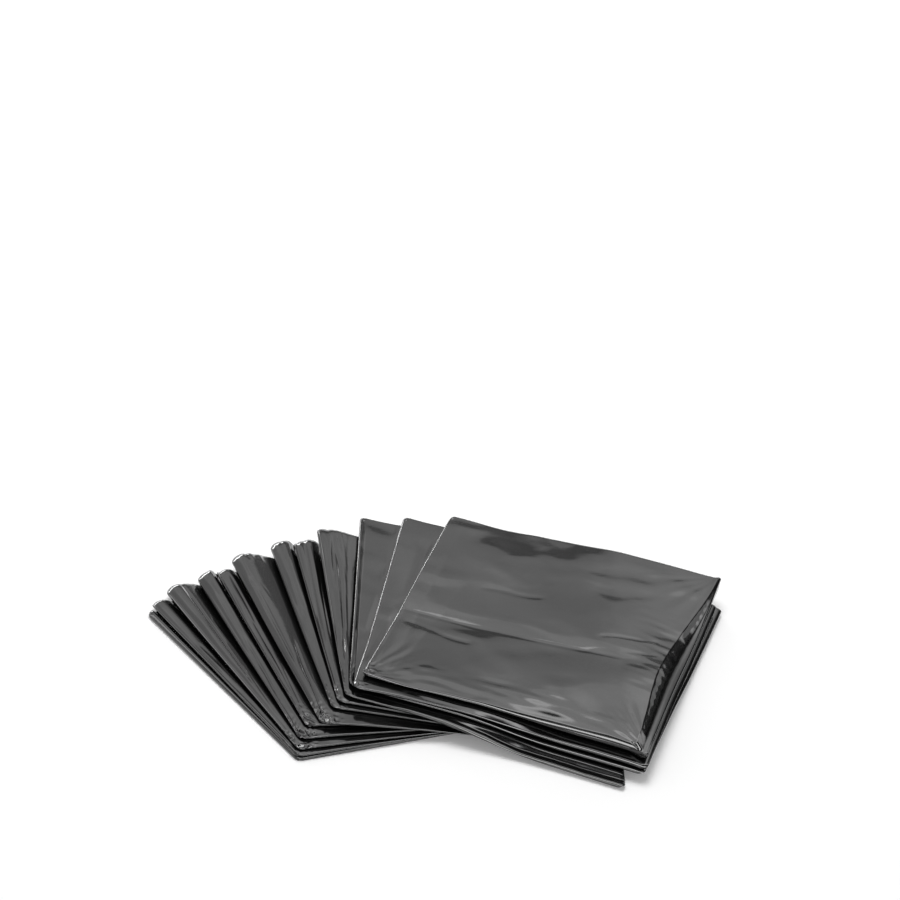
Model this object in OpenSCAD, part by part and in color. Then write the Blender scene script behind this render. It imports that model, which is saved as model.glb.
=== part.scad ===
// Pile of folded bin bags, spread out by hand like a fan.
// Each bag is a black film sack, folded in half across its width and in three along its length.
// The left edge is one fold, plump on the nine bags of the fan and crisp on the three above them.
// The other edges show the two halves of the packet as rounded folds.
// The eight lower bags turn round the front left corner. The four upper ones lie square on their right end.

/* [Sack] */
// Flat width of one sack before folding
sack_w = 736; // [640:4:820]
// Flat length of one sack before folding
sack_l = 1014; // [900:6:1110]

/* [Folds] */
// Thickness of a lower bag at the front corner, where all the left folds meet
corner_t = 5.2; // [4.4:0.1:5.8]
// Thickness of a lower bag where the others press it flat
pressed_t = 3.2; // [2.8:0.1:3.8]
// Thickness of a lower bag at its right end
end_t = 1.7; // [1.5:0.1:2.4]
// Thickness of an upper bag at its front left corner
upper_front_t = 6; // [5:0.1:7]
// Thickness of an upper bag at its back left corner
upper_back_t = 9; // [7.6:0.2:10.4]
// Thickness of an upper bag at its front right corner
upper_right_t = 9.4; // [8.6:0.2:10.6]
// Thickness of an upper bag at its back right corner
upper_end_t = 12.8; // [11.6:0.2:14]
// Extra thickness of the top bag on the right, where nothing presses it
top_extra_t = 12; // [9:0.5:15]
// Height of a plump left fold at the crest of its back end, on a bag of middling size
fold_h = 17; // [14:0.2:19]
// Radius of a folded corner seen from above
corner_r = 8; // [6:0.5:12]
// Width of the sloping right side of the top bag, where it is widest
shoulder_w = 32; // [24:1:38]

/* [Stacking] */
// Air between a bag and the one under it
air_gap = 0.6; // [0.5:0.05:0.8]
// Length over which a bag sinks where it reaches past the front edge of the one below
front_sink_l = 62; // [55:1:75]
// Length over which a bag sinks where it reaches past the right edge of the one below
right_sink_l = 140; // [110:5:180]
// Length over which a bag sinks where it reaches past the back edge of the one below
back_sink_l = 300; // [220:10:400]

/* [Hidden] */
NODES = ["bag_01", "bag_02", "bag_03", "bag_04", "bag_05", "bag_06",
         "bag_07", "bag_08", "bag_09", "bag_10", "bag_11", "bag_12"];

film_colour = "#1d1d1f";
packet_w = sack_w / 2;
packet_l = sack_l / 3;
top_bag = len(NODES) - 1;
// The bags from this one up are the upper ones
first_upper = 8;
// How far a lower and an upper bag spans without bending, because folded film is stiff
lower_span = 3;
upper_span = 13;

// Where the point that the fan turns round lies on the table
pivot = [-128.3, -144.3];
// Where each front left corner lies, from that point
corner_at = [[-36, -51], [-36, -50], [-35, -43], [-34, -30], [-27, -12], [-8, -12],
             [4, 12], [11, 19], [20, 25], [25, 37], [30, 27], [40, 45]];
// Direction of each left fold, in degrees from +X
left_turn = [129, 127.5, 124, 117.5, 115.5, 114, 107.5, 103.5, 99.3, 90, 81, 71];
// Direction of each front edge
front_turn = [14, 13, 11, 8, 4, -2, -8, -10, -20.3, -19.3, -18, -20];
// Direction of each back edge
back_turn = [18, 17, 15, 12, 8, 2, -3, -6, -16, -19, -21.5, -19.6];
// Length of each front edge, left fold and back edge against a neat packet's, because they were folded by hand
front_share = [1, 1, 1, 1, 1, 1, 1, 1, 0.985, 1.03, 1.016, 1];
left_share = [1.03, 1.05, 1.07, 1.04, 0.98, 1.06, 1.03, 0.99, 1.03, 1.04, 1.05, 1.01];
back_share = [1, 1, 1, 1, 1, 1, 1, 1, 1.12, 1.4, 1.22, 1.035];
// How far the middle of each front edge bows in
front_bow = [0, 0, 0, 0, 0, 0, 0, 0, 4, 4, 9, 5];
// Height of each left fold at its back end against fold_h
fold_share = [0.6, 0.75, 1.05, 1, 0.85, 1.2, 1.05, 1.1, 1.2, 0.6, 0.6, 0.7];
// How far each left fold reaches across its bag at the front and at the back: as far as the next bag leaves it open
fold_front = [4, 7, 11, 16, 18, 22, 11, 12, 10, 30, 30, 30];
fold_back = [11.5, 29, 49.5, 29, 28, 61, 34, 38, 66, 90, 90, 90];

// How fast a lower bag thins away from the front corner, along and across it
corner_fade = [1.3, 0.9];
// A plump fold's height grows with this power of the way to its back end
fold_growth = 0.6;
// Where its crest lies, as a share of its height and at most of its reach, and how full it stays towards its foot
fold_crest = [0.72, 0.45];
fold_fullness = 2.3;
// Width of the crisp left fold of the bags above the fan
rim_w = 3;
// Extra thickness of the top bag on the left
top_left_t = 1.5;
// Width of the top bag's sloping side at its front and back end
shoulder_front_w = 20;
shoulder_end_w = 4;
// How far a rounded half reaches in beyond its share of the thickness
half_round = 2;

// Stations across a packet: on its left fold from crest to foot and a little past it, then on the rest
across_fold = [0, 0.4, 0.7, 0.96, 1.25];
across_rest = [0.1, 0.22, 0.36, 0.5, 0.64, 0.77, 0.88, 0.96];
along = [0, 0.03, 0.09, 0.17, 0.28, 0.45, 0.65, 0.84, 0.95, 1];
nu = len(across_fold) + len(across_rest) + 1;
nv = len(along);
// Section of an edge from its top to its underside: share of its inset, share of its height
fold_section = [[1, 1], [0.617, 0.95], [0.293, 0.807], [0.076, 0.593], [0, 0.34], [0.146, 0.1], [0.5, 0]];
rim_section = [[1, 1], [0.5, 0.97], [0.15, 0.88], [0, 0.7], [0, 0.3], [0.15, 0.08], [0.5, 0]];
halves_section = [[1, 1], [0.35, 0.96], [0, 0.76], [0.9, 0.5], [0, 0.24], [0.35, 0.04], [1, 0]];
slope_section = [[1, 1], [0.62, 0.86], [0.3, 0.62], [0, 0.36], [0.16, 0.3], [0.1, 0.12], [0.4, 0]];
// The same slope at its back end, where it runs out in a lip
lip_section = [[1, 1], [0.62, 0.98], [0.3, 0.95], [0, 0.86], [0.3, 0.6], [0.3, 0.25], [0.6, 0]];

function direction(a) = [cos(a), sin(a)];
function mix(a, b, t) = a + (b - a) * t;
function clamp(t) = max(0, min(1, t));
function ease(t) = let (c = clamp(t)) c * c * (3 - 2 * c);
function cross_z(a, b) = a[0] * b[1] - a[1] * b[0];

// The four corners of a packet: front left, front right, back right, back left
function corners(i) =
    let (fl = pivot + corner_at[i],
         bl = fl + packet_l * left_share[i] * direction(left_turn[i]))
    [fl, fl + packet_w * front_share[i] * direction(front_turn[i]),
     bl + packet_w * back_share[i] * direction(back_turn[i]), bl];
quads = [for (i = [0:top_bag]) corners(i)];

// Distance of p inside the edge from a to b, which runs anticlockwise round the packet
function inside(p, a, b) = cross_z(b - a, p - a) / norm(b - a);
function from_left(i, p) = inside(p, quads[i][3], quads[i][0]);
function bow(i, s) = s > 0 && s < 1 ? 4 * front_bow[i] * s * (1 - s) : 0;
function from_front(i, p) =
    let (a = quads[i][0], b = quads[i][1], s = (p - a) * (b - a) / norm(b - a) / norm(b - a))
    inside(p, a, b) - bow(i, s);
function from_right(i, p) = inside(p, quads[i][1], quads[i][2]);
function from_back(i, p) = inside(p, quads[i][2], quads[i][3]);
function share_along(i, p) = let (f = from_front(i, p), b = from_back(i, p)) clamp(f / max(1, f + b));
function share_across(i, p) = let (l = from_left(i, p), r = from_right(i, p)) clamp(l / max(1, l + r));

// How much of a bag's thickness still holds up the next one at p: all of it on the bag, less past its edges
function hold(i, p) =
    (1 - ease(-from_front(i, p) / front_sink_l)) * (1 - ease(-from_right(i, p) / right_sink_l))
    * (1 - ease(-from_back(i, p) / back_sink_l)) * (1 - ease(-from_left(i, p) / front_sink_l));

// Thickness of a packet away from its plump fold
function lower_t(u, v) =
    let (corner = 1 - ease(v * corner_fade[0] + u * corner_fade[1]))
    mix(mix(pressed_t, corner_t, corner), end_t, ease(u));
function upper_t(u, v) =
    mix(mix(upper_front_t, upper_back_t, v), mix(upper_right_t, upper_end_t, v), ease(u));
function flat_t(i, p) =
    let (u = share_across(i, p),
         v = share_along(i, p),
         extra = i == top_bag ? mix(top_left_t, top_extra_t, ease(u)) : 0)
    i < first_upper ? lower_t(u, v) : upper_t(u, v) + extra;

// Extra height of the left fold: none at the front corner, most at the back, gone at its foot
function fold_reach(i, v) = mix(fold_front[i], fold_back[i], v);
function crest_at(i, t, v) = min(fold_crest[0] * t, fold_crest[1] * fold_reach(i, v));
function rise(i, t, v) = max(0, fold_h * fold_share[i] - t) * pow(v, fold_growth);
function fold_extra(i, p) =
    let (v = share_along(i, p),
         t = flat_t(i, p),
         extra = rise(i, t, v),
         crest = crest_at(i, t + extra, v),
         fall = clamp((from_left(i, p) - crest) / (fold_reach(i, v) - crest)))
    extra * (1 - pow(fall, fold_fullness));

function full_t(i, p) = flat_t(i, p) + fold_extra(i, p);

// Height of the top of all the bags below bag i
function support(i, p) = i == 0 ? 0 : support(i - 1, p) + full_t(i - 1, p) * hold(i - 1, p);
// The highest of it within the span of bag i
function highest(i, p) =
    let (r = i < first_upper ? lower_span : upper_span)
    max([for (d = [[0, 0], [r, 0], [-r, 0], [0, r], [0, -r]]) support(i, p + d)]);
function underside(i, p) = i == 0 ? 0 : highest(i, p) + air_gap;
function top_side(i, p) = support(i, p) + full_t(i, p);

// How much of the left fold's section a station has: all on the left edge, some at a plump fold's back end
function plumpness(i, u, v) =
    u == 0 ? 1 : i > first_upper ? 0 : ease(1.4 - 1.2 * u * packet_w / fold_back[i]) * ease(v * 2 - 0.9);

// How much of the slope on the top bag's right has run out in a lip, and how wide the slope is
function lip_share(v) = ease((v - 0.62) / 0.38);
function slope_w(v) = mix(mix(shoulder_front_w, shoulder_w, ease(v / 0.35)), shoulder_end_w, ease((v - 0.4) / 0.6));

// How far the section reaches in from the left, right, front and back edges
function crest_t(i, v) = let (t = flat_t(i, mix(quads[i][0], quads[i][3], v))) t + rise(i, t, v);
function left_inset(i, v) = i > first_upper ? rim_w : crest_at(i, crest_t(i, v), v);
function right_inset(i, t, v) = i == top_bag ? slope_w(v) : t / 3 + half_round;
function end_inset(t, plump) = mix(t / 3 + half_round, t * 0.6, plump);

// Width of the packet square to its left edge
function width_at(i, v) = from_left(i, mix(quads[i][1], quads[i][2], v));

// Point k of the section at a station: plump fold on the left, slope on the top bag's right, halves elsewhere
function section(i, u, v, k) =
    let (plump = plumpness(i, u, v),
         side = mix(slope_section[k], lip_section[k], lip_share(v)),
         slope = i == top_bag ? ease((u - 0.9) / 0.08) : 0)
    mix(mix(halves_section[k], i > first_upper ? rim_section[k] : fold_section[k], plump), side, slope);

// A point of the packet seen from above, with share r of the insets taken off, at the sides and at the ends
function plan(i, u, v, r, t) =
    let (q = quads[i],
         ei = end_inset(t, plumpness(i, u, v)) * r[1] / packet_l,
         b = mix(ei, 1 - ei, v),
         li = left_inset(i, v) * r[0] / width_at(i, b),
         ri = right_inset(i, t, v) * r[0] / packet_w,
         a = mix(li, 1 - ri, u),
         e = q[1] - q[0])
    mix(mix(q[0], q[1], a), mix(q[3], q[2], a), b) + bow(i, a) * (1 - b) * [-e[1], e[0]] / norm(e);

// Station a across the packet, as a share of its width at share v of its length
function across(i, a, v) =
    let (n = len(across_fold),
         crest = crest_at(i, crest_t(i, v), v),
         foot = (fold_reach(i, v) - crest) / (width_at(i, v) - crest - corner_r))
    a < n ? across_fold[a] * foot : a == nu - 1 ? 1 : mix(across_fold[n - 1] * foot, 1, across_rest[a - n]);

// A corner station is drawn in, so that the folded corner is round, and rounder at the end of a plump fold
function is_end(x) = x == 0 || x == 1;
function pull(x, r) = mix(r, 1 - r, x);
function station(i, u, v) =
    let (r = 0.3 * (u == 0 && v == 1 && i <= first_upper ? fold_h * fold_share[i] : corner_r))
    is_end(u) && is_end(v) ? [pull(u, r / packet_w), pull(v, r / packet_l)] : [u, v];

// Point k of the section at station (u, v), or of the flat part's top or underside
function skin(i, u, v, k) =
    let (s = station(i, u, v),
         t = full_t(i, plan(i, s[0], s[1], [1, 1], corner_t)),
         w = is_end(u) || is_end(v) ? section(i, s[0], s[1], k) : [1, k == 0 ? 1 : 0],
         p = plan(i, s[0], s[1], [is_end(u) ? w[0] : 1, is_end(v) ? w[0] : 1], t),
         high = w[1] == 0 ? 0 : top_side(i, p),
         low = w[1] == 1 ? 0 : underside(i, p))
    [p[0], p[1], mix(low, high, w[1])];

// The edge stations in turn, anticlockwise from the front left corner
rim = [for (a = [0:nu - 2]) [a, 0],
       for (b = [0:nv - 2]) [nu - 1, b],
       for (a = [nu - 1:-1:1]) [a, nv - 1],
       for (b = [nv - 1:-1:1]) [0, b]];

// One folded bag: its top and underside are grids, and rings of the section join them
module packet(i) {
    last = len(fold_section) - 1;
    function at(a, b, k) = let (v = along[b]) skin(i, across(i, a, v), v, k);
    top = [for (b = [0:nv - 1], a = [0:nu - 1]) at(a, b, 0)];
    under = [for (b = [0:nv - 1], a = [0:nu - 1]) at(a, b, last)];
    side = [for (k = [1:last - 1], s = rim) at(s[0], s[1], k)];
    n = nu * nv;
    m = len(rim);
    function grid(a, b, first) = first + b * nu + a;
    function ring(k, s) =
        let (r = rim[s % m])
        k == 0 ? grid(r[0], r[1], 0) : k == last ? grid(r[0], r[1], n) : 2 * n + (k - 1) * m + s % m;
    function quad(a, b, c, d) = [[a, b, c], [a, c, d]];
    top_faces = [for (b = [0:nv - 2], a = [0:nu - 2])
        each quad(grid(a, b, 0), grid(a, b + 1, 0), grid(a + 1, b + 1, 0), grid(a + 1, b, 0))];
    under_faces = [for (b = [0:nv - 2], a = [0:nu - 2])
        each quad(grid(a, b, n), grid(a + 1, b, n), grid(a + 1, b + 1, n), grid(a, b + 1, n))];
    side_faces = [for (k = [0:last - 1], s = [0:m - 1])
        each quad(ring(k, s), ring(k, s + 1), ring(k + 1, s + 1), ring(k + 1, s))];
    polyhedron(concat(top, under, side), concat(top_faces, under_faces, side_faces));
}

module bag(i) {
    color(film_colour) packet(i);
}

for (i = [0:top_bag])
    bag(i);
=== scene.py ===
# Looks of a pile of folded bin bags, spread out like a fan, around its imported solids.
# Each bag is a grid, extruded into a closed packet, whose points are moved to the sections of its
# folds, to the bags below it and to the wrinkles of the film.
# Lengths on the bags are in millimetres until their points are set, which are in metres.
# Bags are counted from 0, the lowest, to 11, the top one. On a bag, u runs across it from the left
# edge to the right edge, and v along it from the front edge to the back edge, both from 0 to 1.
import math

import bpy
import numpy as np
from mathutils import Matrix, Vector


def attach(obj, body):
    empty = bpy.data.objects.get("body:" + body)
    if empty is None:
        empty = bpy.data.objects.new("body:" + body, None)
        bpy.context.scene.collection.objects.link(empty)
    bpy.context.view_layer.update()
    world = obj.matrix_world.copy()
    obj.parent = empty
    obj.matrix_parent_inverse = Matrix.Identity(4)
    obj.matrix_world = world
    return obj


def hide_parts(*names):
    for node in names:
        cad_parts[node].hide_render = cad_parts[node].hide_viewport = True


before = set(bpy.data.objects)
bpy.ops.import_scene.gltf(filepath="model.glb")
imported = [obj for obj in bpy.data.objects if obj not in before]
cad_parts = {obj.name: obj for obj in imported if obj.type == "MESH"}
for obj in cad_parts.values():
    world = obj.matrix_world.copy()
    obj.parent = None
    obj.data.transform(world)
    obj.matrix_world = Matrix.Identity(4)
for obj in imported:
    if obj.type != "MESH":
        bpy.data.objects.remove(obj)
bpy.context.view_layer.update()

# Camera at the photograph's viewing angle: sensor and lens in millimetres, places in metres
SENSOR = 36
LENS = 77.52
CAMERA_DISTANCE = 2.877
CAMERA_TILT = math.radians(36.4)
LOOKS_AT = (0.0217, 0.4457)

# The folded packets, as the part's source lays them out
BAGS = 12
PACKET_W = 368.0
PACKET_L = 338.0
FIRST_UPPER = 8  # the lowest of the square group on the right
TOP_BAG = 11
NAMES = [f"bag_{number:02d}" for number in range(1, BAGS + 1)]

# Outlines: the front left corner from where the fan turns, the directions of the left, front and
# back edge in degrees, those edges' lengths as shares of the packet's, and the front edge's bow
PIVOT = (-128.3, -144.3)
CORNER_AT = [(-36, -51), (-36, -50), (-35, -43), (-34, -30), (-27, -12), (-8, -12),
             (4, 12), (11, 19), (20, 25), (25, 37), (30, 27), (40, 45)]
LEFT_TURN = [129, 127.5, 124, 117.5, 115.5, 114, 107.5, 103.5, 99.3, 90, 81, 71]
FRONT_TURN = [14, 13, 11, 8, 4, -2, -8, -10, -20.3, -19.3, -18, -20]
BACK_TURN = [18, 17, 15, 12, 8, 2, -3, -6, -16, -19, -21.5, -19.6]
LEFT_SHARE = [1.03, 1.05, 1.07, 1.04, 0.98, 1.06, 1.03, 0.99, 1.03, 1.04, 1.05, 1.01]
FRONT_SHARE = [1, 1, 1, 1, 1, 1, 1, 1, 0.985, 1.03, 1.016, 1]
BACK_SHARE = [1, 1, 1, 1, 1, 1, 1, 1, 1.12, 1.4, 1.22, 1.035]
FRONT_BOW = [0, 0, 0, 0, 0, 0, 0, 0, 4, 4, 9, 5]

# Left folds: full height at the back and each bag's share of it, how fast it grows along the edge,
# their reach at the front and at the back, how full they stay before they fall to the flat, and how
# far in their crest lies, as a share of its height and, at most, of the reach
FOLD_H = 17
FOLD_SHARE = [0.6, 0.75, 1.05, 1, 0.85, 1.2, 1.05, 1.1, 1.2, 0.6, 0.6, 0.7]
FOLD_GROWTH = 0.6
FOLD_FRONT = [4, 7, 11, 16, 18, 22, 11, 12, 10, 30, 30, 30]
FOLD_BACK = [11.5, 29, 49.5, 29, 28, 61, 34, 38, 66, 90, 90, 90]
FOLD_FULL = [2.3, 2.3, 1.8, 4, 2.2, 1.5, 4, 2.8, 1.6, 2.3, 2.3, 2.3]
FOLD_CREST = 0.72
FOLD_CREST_MOST = 0.45

# Thickness of the flat part. Fan: on the left, in the front left corner, on the right.
# Square group: at the front and at the back, on the left and on the right.
# The top bag adds the last pair, on its left and on its right.
FAN_LEFT, FAN_CORNER, FAN_RIGHT = 3.2, 5.2, 1.7
UPPER_LEFT, UPPER_RIGHT = (6, 9), (9.4, 12.8)
TOP_ADDS = (1.5, 12)

# How the bags lie on each other: how far past its front, right, back and left edge a bag still
# holds up the next one, the hollows that the film spans, and the air between two bags
FRONT_SINK, RIGHT_SINK, BACK_SINK, LEFT_SINK = 62, 140, 300, 62
FAN_SPAN, UPPER_SPAN = 3, 13
AIR_GAP = 0.6

# Edges: inset of the crisp left folds, roundness of the halves, radii of the corners seen from
# above, and width of the top bag's slope at its front, middle and back
RIM_INSET = 5.0
HALF_ROUND = 2
CORNER_RADIUS = 7.0
SLOPE_CORNER_RADIUS = 3.0
FOLD_CORNER_SHARE = 1.1
CORNER_THICKNESS = 5.2
SLOPE_FRONT, SLOPE_MIDDLE, SLOPE_BACK = 16, 25, 4

# Sections of an edge, from the top of the packet at level 0 to its underside at level 1, as rows of
# level, share of the edge's inset and share of the packet's height. A wall has LEVELS steps of mesh.
# RIM is a crisp left fold. HALVES are the packet's two halves, the lower one set back, each with a
# face between two rounded rims. LIP is what the top bag's slope runs out in at the back.
LEVELS = 16
RIM = [(0, 1, 1), (0.08, 0.76, 0.985), (0.17, 0.56, 0.945), (0.25, 0.38, 0.88), (0.33, 0.22, 0.79),
       (0.42, 0.08, 0.67), (0.5, 0, 0.55), (0.75, 0.06, 0.3), (0.84, 0.2, 0.14), (0.92, 0.4, 0.04),
       (1, 0.8, 0)]
HALVES = [(step / LEVELS, inset, height) for step, (inset, height) in enumerate([
    (1, 1), (0.75, 0.99), (0.5, 0.96), (0.25, 0.9), (0.05, 0.81), (0, 0.76), (0.4, 0.7),
    (1.8, 0.67), (2.3, 0.58), (1.8, 0.55), (1.2, 0.54), (0.8, 0.51), (0.55, 0.42), (0.5, 0.31),
    (0.65, 0.17), (0.9, 0.06), (1, 0)])]
LIP = [(0, 1, 1), (0.07, 0.85, 0.99), (0.2, 0.6, 0.975), (0.42, 0.3, 0.95), (0.5, 0.16, 0.93),
       (0.57, 0.04, 0.9), (0.63, 0, 0.86), (0.7, 0.2, 0.7), (0.85, 0.3, 0.3), (1, 0.6, 0)]
# The slope's face falls from the packet's height to its rim's, and its underside from the rim's to 0
SLOPE_FACE = [(0, 1, 1), (0.07, 0.95, 0.9), (0.2, 0.76, 0.45), (0.42, 0.5, 0), (0.5, 0.3, -0.02),
              (0.57, 0.08, 0.03)]
SLOPE_UNDER = [(0.57, 0.08, 0.93), (0.63, 0, 0.93), (0.7, 0.04, 0.7), (0.85, 0.12, 0.28), (1, 0.4, 0)]
SLOPE_RIM_LEVEL = 0.6
SLOPE_FALL_FRONT, SLOPE_FALL = 0.36, 0.55

# Grid lines across and along a packet, as rows of the distance that they run to and their spacing.
# A distance of 0 or less is counted from the far edge.
TOP_GRID = ([(9, 0.9), (60, 2.2), (-24, 2.6), (0, 1.2)], [(9, 0.9), (60, 2.4), (-10, 2.6), (0, 1.0)])
LOWER_GRID = ([(14, 1.0), (75, 1.8), (-14, 7), (0, 1.4)], [(9, 0.9), (50, 2.2), (-18, 4), (0, 1.1)])

# Pressed lines on the top bag: depth, start, end, width behind and ahead, sway, fade of the ends
TOP_CREASES = [(3.0, (-80, 44), (282, -92), 12, 34, 3.0, 8),
               (0.9, (-66, 40), (262, -84), 2.6, 2.6, 3.0, 6),
               (0.8, (205, -36), (290, -40), 2.2, 2.2, 1.0, 6),
               (0.6, (180, -58), (290, -66), 2.0, 2.0, 1.5, 6),
               (0.7, (-40, 10), (60, -42), 3.5, 3.5, 2.0, 6),
               (0.6, (60, 70), (150, 40), 4.0, 4.0, 2.0, 6)]
# Fine stretched folds from the top bag's corners: height, corner, reach, folds to the radian, seed
TOP_RAYS = [(0.2, 2, 130, 20, 7), (0.22, 0, 110, 24, 8), (0.25, 1, 90, 22, 9)]


def mix(a, b, share):
    return a + (b - a) * share


def ease(value):
    """0 below 0, 1 above 1, and a smooth rise between them."""
    value = np.clip(value, 0, 1)
    return value * value * (3 - 2 * value)


def window(value, low, high, fade):
    """1 between low and high, fading to 0 at both."""
    return ease((value - low) / fade) * ease((high - value) / fade)


def direction(degrees):
    angle = math.radians(degrees)
    return np.array([math.cos(angle), math.sin(angle)])


def corners(i):
    """Front left, front right, back right and back left corner of a packet."""
    front_left = np.array(PIVOT) + np.array(CORNER_AT[i])
    back_left = front_left + PACKET_L * LEFT_SHARE[i] * direction(LEFT_TURN[i])
    front_right = front_left + PACKET_W * FRONT_SHARE[i] * direction(FRONT_TURN[i])
    back_right = back_left + PACKET_W * BACK_SHARE[i] * direction(BACK_TURN[i])
    return front_left, front_right, back_right, back_left


QUADS = [corners(i) for i in range(BAGS)]


def inside(p, a, b):
    """Distance of points inside the edge from a to b."""
    edge = b - a
    return (edge[0] * (p[:, 1] - a[1]) - edge[1] * (p[:, 0] - a[0])) / np.hypot(*edge)


def bow(i, share):
    """How far the front edge is bowed in at a share of its length."""
    return np.where((share > 0) & (share < 1), 4 * FRONT_BOW[i] * share * (1 - share), 0)


def from_left(i, p):
    return inside(p, QUADS[i][3], QUADS[i][0])


def from_edges(i, p):
    """Distances of points inside a packet's left, right, front and back edge."""
    front_left, front_right, back_right, back_left = QUADS[i]
    edge = front_right - front_left
    front = inside(p, front_left, front_right) - bow(i, (p - front_left) @ edge / (edge @ edge))
    return from_left(i, p), inside(p, front_right, back_right), front, inside(p, back_right, back_left)


def shares(i, p):
    """How far points are across and along a packet, from 0 to 1."""
    left, right, front, back = from_edges(i, p)
    return (np.clip(left / np.maximum(1, left + right), 0, 1),
            np.clip(front / np.maximum(1, front + back), 0, 1))


def hold(i, p):
    """How much of a bag's thickness still holds up the next one: all on the bag, less past its edges."""
    left, right, front, back = from_edges(i, p)
    return ((1 - ease(-front / FRONT_SINK)) * (1 - ease(-right / RIGHT_SINK))
            * (1 - ease(-back / BACK_SINK)) * (1 - ease(-left / LEFT_SINK)))


def fold_height(i, flat, v):
    """Height of a packet at the crest of its left fold."""
    return flat + np.maximum(0, FOLD_H * FOLD_SHARE[i] - flat) * v ** FOLD_GROWTH


def flat_thickness(i, u, v):
    """Thickness of a packet away from its left fold."""
    if i < FIRST_UPPER:
        corner = 1 - ease(v * 1.3 + u * 0.9)
        return mix(mix(FAN_LEFT, FAN_CORNER, corner), FAN_RIGHT, ease(u))
    flat = mix(mix(*UPPER_LEFT, v), mix(*UPPER_RIGHT, v), ease(u))
    return flat + mix(*TOP_ADDS, ease(u)) if i == TOP_BAG else flat


def crest_place(i, crest, v):
    """How far in from the left edge the crest of a left fold of this height lies."""
    return np.minimum(FOLD_CREST * crest, FOLD_CREST_MOST * mix(FOLD_FRONT[i], FOLD_BACK[i], v))


def thickness(i, p):
    """Thickness of a packet, with its plump left fold."""
    u, v = shares(i, p)
    flat = flat_thickness(i, u, v)
    crest = fold_height(i, flat, v)
    reach = mix(FOLD_FRONT[i], FOLD_BACK[i], v)
    start = crest_place(i, crest, v)
    fall = np.clip((from_left(i, p) - start) / (reach - start), 0, 1)
    return flat + (crest - flat) * (1 - fall ** FOLD_FULL[i])


def support(i, p):
    """Height of the top of all the bags below bag i."""
    height = np.zeros(len(p))
    for j in range(i):
        height += thickness(j, p) * hold(j, p)
    return height


def underside(i, p):
    """Height of a bag's underside: folded film is stiff, and spans small hollows."""
    if i == 0:
        return np.zeros(len(p))
    span = FAN_SPAN if i < FIRST_UPPER else UPPER_SPAN
    steps = [(0, 0), (span, 0), (-span, 0), (0, span), (0, -span)]
    return np.max([support(i, p + np.array(step)) for step in steps], axis=0) + AIR_GAP


def exposure(i, p, margin=2, fade=8):
    """1 where nothing lies on a bag, 0 under the others and within a margin of their edges."""
    open_share = np.ones(len(p))
    for j in range(i + 1, BAGS):
        outside = -np.minimum.reduce(from_edges(j, p))
        open_share *= ease((outside - margin) / fade)
    return open_share


def linear(hex_colour):
    """An sRGB hex colour as linear RGBA."""
    values = [int(hex_colour[i:i + 2], 16) / 255 for i in (1, 3, 5)]
    return (*[v / 12.92 if v <= 0.04045 else ((v + 0.055) / 1.055) ** 2.4 for v in values], 1)


WHITE = linear("#ffffff")


def add_node(tree, kind, inputs=(), stops=(), **settings):
    """A new shader node. inputs go from an input to a number, a socket or a node, whose first output
    is meant. stops are a ramp's places and levels. settings are properties, or inputs by name."""
    node = tree.nodes.new("ShaderNode" + kind)
    for name, value in settings.items():
        if hasattr(node, name):
            setattr(node, name, value)
        else:
            node.inputs[name.replace("_", " ")].default_value = value
    for name, source in dict(inputs).items():
        if isinstance(source, bpy.types.Node):
            source = source.outputs[0]
        if isinstance(source, bpy.types.NodeSocket):
            tree.links.new(source, node.inputs[name])
        else:
            node.inputs[name].default_value = source
    if stops:
        node.color_ramp.interpolation = "EASE"
        for _ in stops[2:]:
            node.color_ramp.elements.new(0.5)
        for element, (place, level) in zip(node.color_ramp.elements, stops):
            element.position = place
            element.color = (level, level, level, 1)
    return node


def new_tree(owner):
    owner.use_nodes = True
    owner.node_tree.nodes.clear()
    return owner.node_tree


def film_material():
    """Low-density polyethylene, blown as film and coloured through with carbon black: the coat gives
    the clear gloss of its skin, and the bump the faint waves, about 17 mm long, that blowing leaves."""
    material = bpy.data.materials.new("black_polyethylene_film")
    tree = new_tree(material)
    place = add_node(tree, "TexCoord").outputs["Object"]
    waves = add_node(tree, "TexNoise", {"Vector": place}, Scale=60.0, Detail=3.0)
    bump = add_node(tree, "Bump", {"Height": waves.outputs["Fac"]}, Strength=0.08, Distance=0.002)
    shader = add_node(tree, "BsdfPrincipled", {"Normal": bump, "Coat Normal": bump},
                      Base_Color=linear("#0a0a0a"), Roughness=0.35, IOR=1.5, Specular_IOR_Level=0.04,
                      Coat_Weight=1.0, Coat_Roughness=0.08, Coat_IOR=1.5)
    add_node(tree, "OutputMaterial", {"Surface": shader})
    return material


def stations(length, rows):
    """Distances of the grid lines from 0 to length."""
    places, at = [0.0], 0.0
    for reach, spacing in rows:
        reach = reach if reach > 0 else length + reach
        count = max(1, round((reach - at) / spacing))
        places += list(at + (reach - at) * np.arange(1, count + 1) / count)
        at = reach
    return np.array(places)


def from_table(level, table):
    """Shares of the inset and of the height at a level, between the rows of a section."""
    levels, insets, heights = zip(*table)
    return np.interp(level, levels, insets), np.interp(level, levels, heights)


def fold_section(level):
    """One round fold, widest low down, whose underside is tucked half way in."""
    widest, low, tuck = 0.68, 0.34, 0.5
    over = np.clip(level / widest, 0, 1) * math.pi / 2
    under = np.clip((level - widest) / (1 - widest), 0, 1) * math.pi / 2
    inset = np.where(level < widest, 1 - np.sin(over), tuck * (1 - np.cos(under)))
    height = np.where(level < widest, low + (1 - low) * np.cos(over), low * (1 - np.sin(under)))
    return inset, height


def lip_share(v):
    """How much of the slope on the top bag's right has run out in a lip."""
    return ease((v - 0.62) / 0.38)


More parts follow.
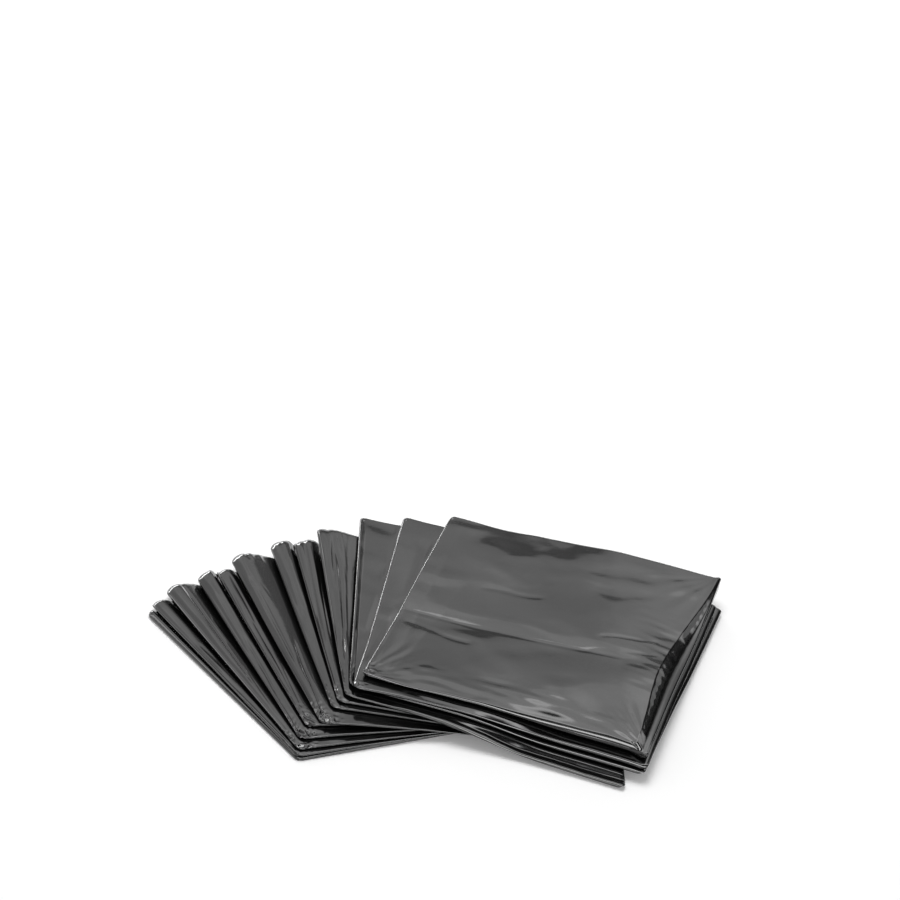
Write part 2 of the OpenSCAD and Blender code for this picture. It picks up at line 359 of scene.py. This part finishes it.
def slope_width(v):
    """Width of the slope on the top bag's right."""
    return mix(mix(SLOPE_FRONT, SLOPE_MIDDLE, ease(v / 0.4)), SLOPE_BACK, ease((v - 0.4) / 0.6))


def slope_section(level, v):
    """The top bag's right side: a slope down to a thin rim, then back in under it."""
    fall = mix(SLOPE_FALL_FRONT, SLOPE_FALL, ease(v / 0.35))
    face, under, lip = (from_table(level, table) for table in (SLOPE_FACE, SLOPE_UNDER, LIP))
    on_face = level < SLOPE_RIM_LEVEL
    inset = np.where(on_face, face[0], under[0])
    height = np.where(on_face, 1 - fall * (1 - face[1]), (1 - fall) * under[1])
    return mix(inset, lip[0], lip_share(v)), mix(height, lip[1], lip_share(v))


def round_corners(i, x, y):
    """Draws the corners of a packet's grid in to quarter circles; a plump fold's end is the roundest."""
    radius = np.full(len(x), CORNER_RADIUS)
    if i <= FIRST_UPPER:
        radius[(x < PACKET_W / 2) & (y > PACKET_L / 2)] = FOLD_H * FOLD_SHARE[i] * FOLD_CORNER_SHARE
    if i == TOP_BAG:
        radius[x > PACKET_W / 2] = SLOPE_CORNER_RADIUS
    a = np.where(x < PACKET_W / 2, radius - x, x - PACKET_W + radius) / radius
    b = np.where(y < PACKET_L / 2, radius - y, y - PACKET_L + radius) / radius
    near = (a > 0) & (b > 0)
    round_a = np.where(near, a * np.sqrt(np.maximum(0, 1 - b * b / 2)), a)
    round_b = np.where(near, b * np.sqrt(np.maximum(0, 1 - a * a / 2)), b)
    round_x = np.where(x < PACKET_W / 2, radius - round_a * radius, PACKET_W - radius + round_a * radius)
    round_y = np.where(y < PACKET_L / 2, radius - round_b * radius, PACKET_L - radius + round_b * radius)
    return np.where(near, round_x, x), np.where(near, round_y, y)


def left_inset(i, v):
    """How far the section of the left fold reaches in from the left edge."""
    if i > FIRST_UPPER:
        return np.full(len(v), RIM_INSET)
    return crest_place(i, fold_height(i, flat_thickness(i, np.zeros(len(v)), v), v), v)


def width_at(i, v):
    """Width of a packet square to its left edge."""
    q = QUADS[i]
    return from_left(i, q[1] + np.outer(v, q[2] - q[1]))


def plumpness(i, u, v):
    """How much of a plump fold's round section a point has: all on the left edge, some at its back end."""
    on_left = u <= 0.002
    if i > FIRST_UPPER:
        return on_left * 1.0
    return np.where(on_left, 1, ease(1.4 - 1.2 * u * PACKET_W / FOLD_BACK[i]) * ease(v * 2 - 0.9))


def plan(i, u, v, share, t):
    """Points of a packet of thickness t seen from above, with a share of the edges' insets taken off."""
    right = slope_width(v) if i == TOP_BAG else t / 3 + HALF_ROUND
    end = mix(np.clip(0.3 * t - 0.4, 1, 6), t * 0.6, plumpness(i, u, v)) * share / PACKET_L
    b = mix(end, 1 - end, v)
    a = mix(left_inset(i, v) * share / width_at(i, b), 1 - right * share / PACKET_W, u)
    q = QUADS[i]
    front = q[0] + np.outer(a, q[1] - q[0])
    back = q[3] + np.outer(a, q[2] - q[3])
    edge = (q[1] - q[0]) / np.hypot(*(q[1] - q[0]))
    return front + (back - front) * b[:, None] + np.outer(bow(i, a) * (1 - b), [-edge[1], edge[0]])


def noise(x, y, length, seed, spread=math.pi, turn=0.0, waves=9):
    """Smooth waves between about -1 and 1, of about this length, in directions spread round turn."""
    draw = np.random.default_rng(seed)
    total = np.zeros(len(x))
    for _ in range(waves):
        angle = turn + draw.uniform(-spread, spread) / 2
        pace = 2 * math.pi / (length * draw.uniform(0.7, 1.6))
        start = draw.uniform(0, 2 * math.pi)
        total += np.sin((x * math.cos(angle) + y * math.sin(angle)) * pace + start)
    return total / math.sqrt(waves / 1.2)


def ripples(i, p, height, length, seed, spread, turn):
    """Ripples in directions round turn, in degrees from a bag's front edge."""
    return height * noise(p[:, 0], p[:, 1], length, seed, spread, math.radians(FRONT_TURN[i] + turn))


def pressed_line(p, start, end, behind, ahead, sway, fade):
    """A pressed line: 1 along it, 0 a few widths behind and ahead of it, and fading at its ends."""
    start, end = np.array(start), np.array(end)
    along = end - start
    share = (p - start) @ along / (along @ along)
    away = inside(p, start, end) - sway * np.sin(share * 7)
    across = np.exp(-(away / np.where(away > 0, behind, ahead)) ** 2)
    return across * ease(share * fade) * ease((1 - share) * fade)


def corner_rays(p, corner, reach, count, seed):
    """Fine stretched folds that run out from a corner."""
    away = p - corner
    far = np.hypot(away[:, 0], away[:, 1])
    angle = np.arctan2(away[:, 1], away[:, 0])
    draw = np.random.default_rng(seed)
    rays = sum(np.sin(angle * count * draw.uniform(0.6, 1.5) + draw.uniform(0, 6)) for _ in range(4)) / 2
    return rays * window(far, 6, reach, reach * 0.45)


def fold_wrinkles(i, left, front, creases=13):
    """Creases that run out along a left fold from its front corner, and shallow waves and streaks."""
    draw = np.random.default_rng(40 + i)
    fan = left / (6 + 0.11 * front)
    total = np.zeros(len(left))
    for _ in range(creases):
        at = draw.uniform(0.15, 2.6)
        width = draw.uniform(0.04, 0.11)
        deep = draw.uniform(-1.7, 0.7)
        first = draw.uniform(-160, 160)
        long = draw.uniform(140, 340)
        sway = at + 0.08 * np.sin(front / draw.uniform(50, 110) + draw.uniform(0, 6))
        total += deep * np.exp(-((fan - sway) / width) ** 2) * window(front, first, first + long, 70)
    waves = 0.35 * noise(left * 3, front, length=90, seed=60 + i)
    patches = ease(0.4 + noise(left, front, length=80, seed=240 + i)) * ease(front / 60)
    streaks = 0.3 * noise(left, front, length=9, seed=220 + i, spread=0.14) * patches
    return total * np.clip(0.6 + front / 250, 0, 1.1) + waves + streaks


def corner_crumple(i, left, front, reach=34):
    """Small folds of film at a front left corner, slight on the bags above the fan."""
    near = ease(1 - np.hypot(left, front * 0.7) / reach)
    ridges = 1 - 2 * np.abs(noise(left, front, length=11, seed=80 + i))
    return near * (1.3 * ridges - 1.0) * (1 if i <= FIRST_UPPER else 0.3)


def pressed_front(front, u):
    """The lowest bag of the square group sags in front of the others, and its edge stands up."""
    sag = ease((front - 1) / 14) * ease(1.4 - front / 100) * window(u, 0.08, 1.1, 0.1)
    edge = ease(1 - front / 26) * window(u, 0.1, 0.65, 0.15)
    return 2.4 * edge - 4.2 * sag


def flat_ripples(i, p, u, v):
    """Low swells of a flat top, ripples that end at its folds, and a ridge along the left one."""
    x, y = p[:, 0], p[:, 1]
    left, right, front, _ = from_edges(i, p)
    swell = 0.7 * noise(x, y, length=130, seed=300 + i)
    middle = (ripples(i, p, height=0.35, length=42, seed=120 + i, spread=0.9, turn=86)
              * ease(0.5 + noise(x, y, length=120, seed=130 + i)))
    side = (ripples(i, p, height=0.2, length=15, seed=140 + i, spread=0.7, turn=90)
            * ease(1 - right / 110) * window(v, 0.05, 0.8, 0.25))
    near = (ripples(i, p, height=0.25, length=16, seed=160 + i, spread=0.6, turn=84)
            * window(front, 2, 50, 16) * window(u, 0.05, 1.0, 0.2))
    ridge = 0.5 * np.exp(-((left - 2.0) / 1.8) ** 2)
    return swell + middle + side + near + ridge


def top_forms(p, u, v):
    """Forms of the top bag alone: streaks on its slope, a front edge that rolls over, a shallow dip
    at the back left, pressed lines, and stretched folds at three corners."""
    _, right, front, back = from_edges(TOP_BAG, p)
    total = (ripples(TOP_BAG, p, height=0.25, length=16, seed=180, spread=0.5, turn=78)
             * window(right / slope_width(v), 0.4, 0.95, 0.2) * (1 - lip_share(v)))
    total -= 2.6 * ease(1 - front / 30) * window(u, 0.02, 1.1, 0.15)
    dip_edge = back + 9 * noise(p[:, 0], p[:, 1], length=60, seed=210)
    total -= 3.2 * ease(1 - dip_edge / 64) * window(u, 0.04, 0.66, 0.2)
    for depth, *line in TOP_CREASES:
        total -= depth * pressed_line(p, *line)
    for height, corner, *rays in TOP_RAYS:
        total += height * corner_rays(p, QUADS[TOP_BAG][corner], *rays)
    return total


def wrinkles(i, p, u, v):
    """Height that the wrinkles add to the open top of a bag."""
    left, right, front, _ = from_edges(i, p)
    total = corner_crumple(i, left, front)
    if i == FIRST_UPPER:
        total += pressed_front(front, u)
    if i <= FIRST_UPPER:
        return total + fold_wrinkles(i, left, front)
    total += flat_ripples(i, p, u, v)
    if i == TOP_BAG:
        total = total * ease((right - 0.5 * slope_width(v)) / 12) + top_forms(p, u, v)
    return total


def coordinates(mesh):
    """The points of a mesh, one to a row."""
    flat = np.zeros(len(mesh.vertices) * 3)
    mesh.vertices.foreach_get("co", flat)
    return flat.reshape(-1, 3)


def blank_packet(name, columns, rows):
    """A closed box of a grid, its copy above and LEVELS steps of wall between them."""
    bpy.ops.object.select_all(action="DESELECT")
    bpy.ops.mesh.primitive_grid_add(x_subdivisions=columns, y_subdivisions=rows, size=1)
    piece = bpy.context.object
    piece.name = piece.data.name = "film_" + name
    bpy.ops.object.mode_set(mode="EDIT")
    bpy.ops.mesh.select_all(action="SELECT")
    bpy.ops.mesh.extrude_region_move(TRANSFORM_OT_translate={"value": (0, 0, 1)})
    bpy.ops.mesh.select_all(action="DESELECT")
    bpy.ops.mesh.select_mode(type="EDGE")
    bpy.ops.object.mode_set(mode="OBJECT")
    mesh = piece.data
    heights = coordinates(mesh)[:, 2]
    ends = np.zeros(len(mesh.edges) * 2, int)
    mesh.edges.foreach_get("vertices", ends)
    upright = heights[ends[0::2]] != heights[ends[1::2]]
    mesh.edges.foreach_set("select", upright)
    bpy.ops.object.mode_set(mode="EDIT")
    bpy.ops.mesh.subdivide(number_cuts=LEVELS - 1)
    bpy.ops.mesh.select_mode(type="VERT")
    bpy.ops.mesh.select_all(action="SELECT")
    bpy.ops.mesh.normals_make_consistent(inside=False)
    bpy.ops.object.mode_set(mode="OBJECT")
    bpy.ops.object.shade_smooth()
    return piece


def edge_section(i, level, on_left, u, v):
    """Shares of the inset and of the height at points of a packet's rim."""
    fold = from_table(level, RIM) if i > FIRST_UPPER else fold_section(level)
    halves = from_table(level, HALVES)
    plump = np.where(on_left, 1, plumpness(i, u, v))
    inset, height = mix(halves[0], fold[0], plump), mix(halves[1], fold[1], plump)
    if i == TOP_BAG:
        slope = slope_section(level, v)
        at_right = ease((u - 0.965) / 0.025)
        inset, height = mix(inset, slope[0], at_right), mix(height, slope[1], at_right)
    return inset, height


def folded_bag(i, film):
    """One folded bag: a closed packet in its place on the bags below it."""
    rows_across, rows_along = TOP_GRID if i == TOP_BAG else LOWER_GRID
    across, along = stations(PACKET_W, rows_across), stations(PACKET_L, rows_along)
    last_column, last_row = len(across) - 1, len(along) - 1
    piece = blank_packet(NAMES[i], last_column, last_row)
    mesh = piece.data
    place = coordinates(mesh)
    column = np.rint((place[:, 0] + 0.5) * last_column).astype(int)
    row = np.rint((place[:, 1] + 0.5) * last_row).astype(int)
    level = 1 - place[:, 2]
    on_rim = (column == 0) | (column == last_column) | (row == 0) | (row == last_row)
    x, y = round_corners(i, across[column], along[row])
    u, v = x / PACKET_W, y / PACKET_L
    t = thickness(i, plan(i, u, v, np.ones(len(u)), np.full(len(u), CORNER_THICKNESS)))
    inset, height = edge_section(i, level, column == 0, u, v)
    inset = np.where(on_rim, inset, 1)
    height = np.where(on_rim, height, level < 0.5)
    p = plan(i, u, v, inset, t)
    high = support(i, p) + thickness(i, p) + exposure(i, p) * wrinkles(i, p, u, v)
    z = mix(underside(i, p), high, height)
    mesh.vertices.foreach_set("co", (np.column_stack([p, z]) / 1000).ravel())
    mesh.update()
    mesh.materials.append(film)
    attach(piece, "root")
    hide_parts(NAMES[i])


def floor():
    """White paper under the pile, which glows a little for what sees or mirrors it, and more with the
    distance, so that it stays white to the horizon and still takes the shadow."""
    bpy.ops.object.select_all(action="DESELECT")
    bpy.ops.mesh.primitive_plane_add(size=30)
    piece = bpy.context.object
    piece.name = "floor"
    material = bpy.data.materials.new("white_paper_floor")
    tree = new_tree(material)
    paper = add_node(tree, "BsdfDiffuse", Color=linear("#f4f4f4"))
    path = add_node(tree, "LightPath").outputs
    seen = add_node(tree, "Math", {0: path["Is Camera Ray"], 1: path["Is Glossy Ray"]}, operation="ADD")
    seen = add_node(tree, "Math", {0: seen, 1: path["Is Transmission Ray"]}, operation="ADD")
    place = add_node(tree, "TexCoord").outputs["Object"]
    away = add_node(tree, "VectorMath", {0: place}, operation="LENGTH").outputs["Value"]
    glow = add_node(tree, "MapRange", {"Value": away}, From_Min=0.9, From_Max=4.0, To_Min=0.16, To_Max=0.9)
    glow = add_node(tree, "Math", {0: seen, 1: glow}, operation="MULTIPLY")
    glow = add_node(tree, "Emission", {"Strength": glow}, Color=WHITE)
    both = add_node(tree, "AddShader", {0: paper, 1: glow})
    add_node(tree, "OutputMaterial", {"Surface": both})
    piece.data.materials.append(material)


def studio_world():
    """The studio that the film mirrors, a plain soft light for what isn't mirrored, and plain white for
    what is seen straight on or through a clear piece. X, Y and Z are a mirrored direction's: to the
    right, to the back and up."""
    world = bpy.data.worlds.new("studio")
    bpy.context.scene.world = world
    tree = new_tree(world)
    place = add_node(tree, "TexCoord").outputs["Generated"]
    toward = add_node(tree, "SeparateXYZ", {"Vector": place}).outputs
    side_stops = [(-1, 0.25), (-0.5, 0.25), (-0.25, 0.6), (-0.1, 0.77), (0.02, 0.7),
                  (0.16, 0.9), (0.3, 1.0), (0.47, 0.65), (0.6, 0.06), (1, 0.02)]
    rise_stops = [(0, 0.9), (0.1, 0.8), (0.24, 0.1), (0.44, 0.12), (0.53, 0.4),
                  (0.62, 0.5), (0.69, 0.58), (0.79, 0.85), (0.93, 1.0), (1, 0.9)]
    front_stops = [(-1, 0), (-0.86, 0), (-0.76, 1), (-0.53, 1), (-0.43, 0), (1, 0)]
    over_stops = [(-1, 0), (0.03, 0), (0.12, 1), (0.2, 1), (0.32, 0), (1, 0)]
    ramps = []
    for axis, stops in (("X", side_stops), ("Y", front_stops), ("Y", over_stops)):
        # a ramp runs from 0 to 1, so X and Y, which run from -1 to 1, are brought to that
        along = add_node(tree, "MapRange", {"Value": toward[axis]}, From_Min=-1.0)
        stops = [((at + 1) / 2, level) for at, level in stops]
        ramps.append(add_node(tree, "ValToRGB", {"Fac": along}, stops))
    side, front, over = ramps
    rise = add_node(tree, "ValToRGB", {"Fac": toward["Z"]}, rise_stops)
    # the backdrop: bright behind and to the left, dark to the right and in front
    depth = add_node(tree, "MapRange", {"Value": toward["Y"]}, interpolation_type="SMOOTHSTEP",
                     From_Min=0.0, From_Max=0.25, To_Min=0.02, To_Max=1.1)
    backdrop = add_node(tree, "Math", {0: side, 1: depth}, operation="MULTIPLY")
    backdrop = add_node(tree, "Math", {0: backdrop, 1: 4.0}, operation="MULTIPLY")
    backdrop = add_node(tree, "Math", {0: backdrop, 1: rise}, operation="MULTIPLY")
    # a large softbox over the front: only rims and crumpled corners tilt far enough to show it
    above = add_node(tree, "MapRange", {"Value": toward["Z"]}, interpolation_type="SMOOTHSTEP",
                     From_Min=0.35, From_Max=0.6, To_Min=0.0, To_Max=12.0)
    front = add_node(tree, "Math", {0: front, 1: above}, operation="MULTIPLY")
    # a narrow softbox high up behind, that gives the sheen along the top bag's front edge
    over = add_node(tree, "Math", {0: over, 1: 3.8}, operation="MULTIPLY")
    # the wall on the left, that the left shoulders of the folds show
    wall = add_node(tree, "MapRange", {"Value": toward["X"]}, interpolation_type="SMOOTHSTEP",
                    From_Min=-0.16, From_Max=-0.4, To_Min=0.0, To_Max=0.8)
    studio = backdrop
    for light in (front, over, wall):
        studio = add_node(tree, "Math", {0: studio, 1: light}, operation="ADD")
    mirrored = add_node(tree, "Background", {"Strength": studio}, Color=WHITE)
    soft = add_node(tree, "Background", Color=WHITE, Strength=0.4)
    white = add_node(tree, "Background", Color=WHITE, Strength=1.0)
    path = add_node(tree, "LightPath").outputs
    lights = add_node(tree, "MixShader", {0: path["Is Glossy Ray"], 1: soft, 2: mirrored})
    seen = add_node(tree, "Math", {0: path["Is Camera Ray"], 1: path["Is Transmission Ray"]}, operation="ADD")
    background = add_node(tree, "MixShader", {0: seen, 1: lights, 2: white})
    add_node(tree, "OutputWorld", {"Surface": background})


def area_lamp(name, place, size, radiance, mirrored=True):
    """A softbox that faces the pile; the camera doesn't see it."""
    lamp = bpy.data.lights.new(name, "AREA")
    lamp.shape = "RECTANGLE"
    lamp.size, lamp.size_y = size
    lamp.energy = radiance * math.pi * size[0] * size[1]
    piece = bpy.data.objects.new(name, lamp)
    bpy.context.collection.objects.link(piece)
    piece.location = place
    pile_middle = Vector((0, 0, 0.03))
    piece.rotation_euler = (pile_middle - Vector(place)).to_track_quat("-Z", "Y").to_euler()
    piece.visible_camera = False
    piece.visible_glossy = mirrored


def camera():
    data = bpy.data.cameras.new("camera")
    data.sensor_width = SENSOR
    data.lens = LENS
    piece = bpy.data.objects.new("camera", data)
    bpy.context.collection.objects.link(piece)
    x, y = LOOKS_AT
    piece.location = (x, y - CAMERA_DISTANCE * math.cos(CAMERA_TILT), CAMERA_DISTANCE * math.sin(CAMERA_TILT))
    piece.rotation_euler = (math.pi / 2 - CAMERA_TILT, 0, 0)
    bpy.context.scene.camera = piece


film = film_material()
for number in range(BAGS):
    folded_bag(number, film)
floor()
studio_world()
area_lamp("key_softbox", place=(0.1, 0.1, 2.5), size=(1.2, 1.2), radiance=8.5, mirrored=False)
area_lamp("right_strip", place=(1.45, 2.0, 0.55), size=(1.0, 0.6), radiance=0.8)
area_lamp("back_strip", place=(-1.25, 2.1, 0.6), size=(1.3, 0.25), radiance=16)
camera()
bpy.context.scene.view_settings.view_transform = "Standard"
